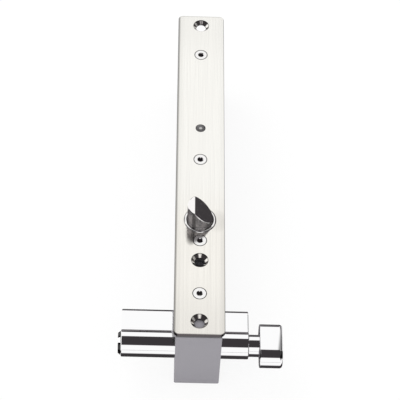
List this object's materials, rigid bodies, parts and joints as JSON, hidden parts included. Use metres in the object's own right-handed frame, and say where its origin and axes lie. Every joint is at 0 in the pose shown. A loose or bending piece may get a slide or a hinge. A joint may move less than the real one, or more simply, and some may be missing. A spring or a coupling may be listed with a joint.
{
  "type": "electric bolt lock",
  "caption": "Electric drop-bolt lock: slim brushed faceplate on a long grey case, bevelled round bolt in a bush, dark status lens, and a profile cylinder with thumbturn through the lower end.",
  "frame": {"origin": "midpoint of the two end mounting holes, on the faceplate's seating plane", "axes": "+Z the way the bolt comes out, +Y along the faceplate away from the cylinder, +X towards the thumbturn"},
  "size_m": [0.1024, 0.2686, 0.0746],
  "materials": {
    "brushed_plate": "brushed",
    "case_paint": "matte",
    "bright_steel": "polished",
    "tool_steel": "satin",
    "dark_steel": "black oxide",
    "nickel": "polished",
    "zinc": "zinc plated",
    "brass": "plain",
    "copper": "enamelled wire",
    "bronze": "sintered",
    "black_plastic": "matte",
    "white_plastic": "matte",
    "green_board": "solder mask",
    "green_block": "gloss",
    "blue_relay": "gloss",
    "lens_smoke": "clear smoked",
    "led_red": "clear",
    "magnet": "nickel plated",
    "rubber": "matte"
  },
  "bodies": {
    "case_unit": {"faceplate": "brushed_plate", "case_body": "case_paint", "case_cover": "case_paint", "cover_screws": "dark_steel", "faceplate_screws": "nickel", "cylinder_screw": "nickel", "bolt_bush": "bright_steel", "guide_bracket": "zinc", "bracket_screws": "dark_steel", "pivot_pin": "tool_steel", "solenoid_frame": "zinc", "solenoid_bobbin": "black_plastic", "solenoid_coil": "copper", "solenoid_core": "tool_steel", "solenoid_screws": "dark_steel", "slide_studs": "tool_steel", "euro_cylinder": "nickel", "driver_pins": "brass", "pin_springs": "bronze", "control_board": "green_board", "board_screws": "zinc", "status_lens": "lens_smoke", "status_led": "led_red", "terminal_block": "green_block", "relay": "blue_relay", "capacitor": "black_plastic", "controller_chip": "black_plastic", "door_sensor": "white_plastic", "cable_gland": "rubber"},
    "bolt_unit": {"bolt": "bright_steel", "bolt_magnet": "magnet", "drive_pin": "tool_steel", "bolt_spring": "tool_steel"},
    "lever_unit": {"release_lever": "tool_steel", "lever_cross_pin": "tool_steel"},
    "plunger_unit": {"solenoid_plunger": "nickel"},
    "slide_unit": {"key_slide": "zinc"},
    "turn_unit": {"cylinder_cam": "tool_steel", "thumbturn_spindle": "nickel", "thumbturn_knob": "nickel", "knob_screw": "dark_steel"},
    "plug_unit": {"key_plug": "nickel", "key_pins": "brass"}
  },
  "joints": [
    {"name": "bolt_slide", "type": "slide", "parent": "case_unit", "child": "bolt_unit", "axis": [0, 0, -1], "range_m": [0, 0.0152], "stiffness_N_per_m": 300, "springref_m": -0.02, "deforming": ["bolt_spring"]},
    {"name": "lever_pivot", "type": "hinge", "parent": "case_unit", "child": "lever_unit", "pos_m": [0, -0.0243, -0.0166], "axis": [1, 0, 0], "range_deg": [0, 38.12]},
    {"name": "plunger_slide", "type": "slide", "parent": "case_unit", "child": "plunger_unit", "axis": [0, 1, 0], "range_m": [0, 0.00849]},
    {"name": "key_slide_travel", "type": "slide", "parent": "case_unit", "child": "slide_unit", "axis": [0, 1, 0], "range_m": [0, 0.00849]},
    {"name": "thumbturn_turn", "type": "hinge", "parent": "case_unit", "child": "turn_unit", "pos_m": [0, -0.121, -0.0273], "axis": [1, 0, 0], "range_deg": [0, 41.44]},
    {"name": "key_turn", "type": "hinge", "parent": "case_unit", "child": "plug_unit", "pos_m": [-0.045, -0.121, -0.0273], "axis": [1, 0, 0], "continuous": true}
  ],
  "couplings": [
    {"joint": "lever_pivot", "follows": "bolt_slide", "rad_per_m": 43.766},
    {"joint": "plunger_slide", "follows": "bolt_slide", "ratio": 0.55852},
    {"joint": "key_slide_travel", "follows": "bolt_slide", "ratio": 0.55852},
    {"joint": "thumbturn_turn", "follows": "bolt_slide", "rad_per_m": 47.573}
  ]
}
